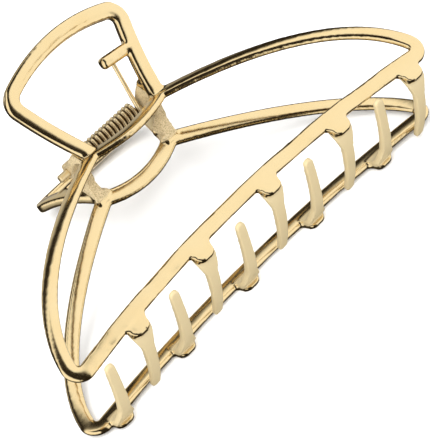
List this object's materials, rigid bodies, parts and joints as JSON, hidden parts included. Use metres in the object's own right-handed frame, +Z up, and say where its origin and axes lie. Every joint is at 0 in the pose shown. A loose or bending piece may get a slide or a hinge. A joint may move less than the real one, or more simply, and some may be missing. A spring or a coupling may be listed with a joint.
{
  "type": "claw hair clip",
  "caption": "Claw hair clip: two open curved jaws with interlocking teeth on a sprung hinge pin, opened by squeezing two finger loops.",
  "frame": {"origin": "bottom centre of the bounding box, with the closed clip lying on its rear jaw", "axes": "+X along the clip and the hinge pin, -Y towards the teeth and +Y towards the finger loops, +Z up, out through the front jaw"},
  "size_m": [0.1064, 0.0672, 0.0474],
  "materials": {
    "gold_casting": "polished pale gold plating on a cast alloy, with satin teeth and grainy hinge ears",
    "gold_pin": "pale gold plating on a drawn pin",
    "gold_wire": "gold plating on drawn spring wire"
  },
  "bodies": {
    "rear": {"rear_jaw": "gold_casting", "hinge_pin": "gold_pin", "torsion_spring": "gold_wire"},
    "front": {"front_jaw": "gold_casting"}
  },
  "joints": [
    {"name": "jaw_hinge", "type": "hinge", "parent": "rear", "child": "front", "pos_m": [0, 0.01495, 0.02104], "axis": [-1, 0, 0], "range_deg": [0, 108], "stiffness_Nm_per_rad": 0.05, "springref_deg": -57.3, "deforming": ["torsion_spring"]}
  ]
}
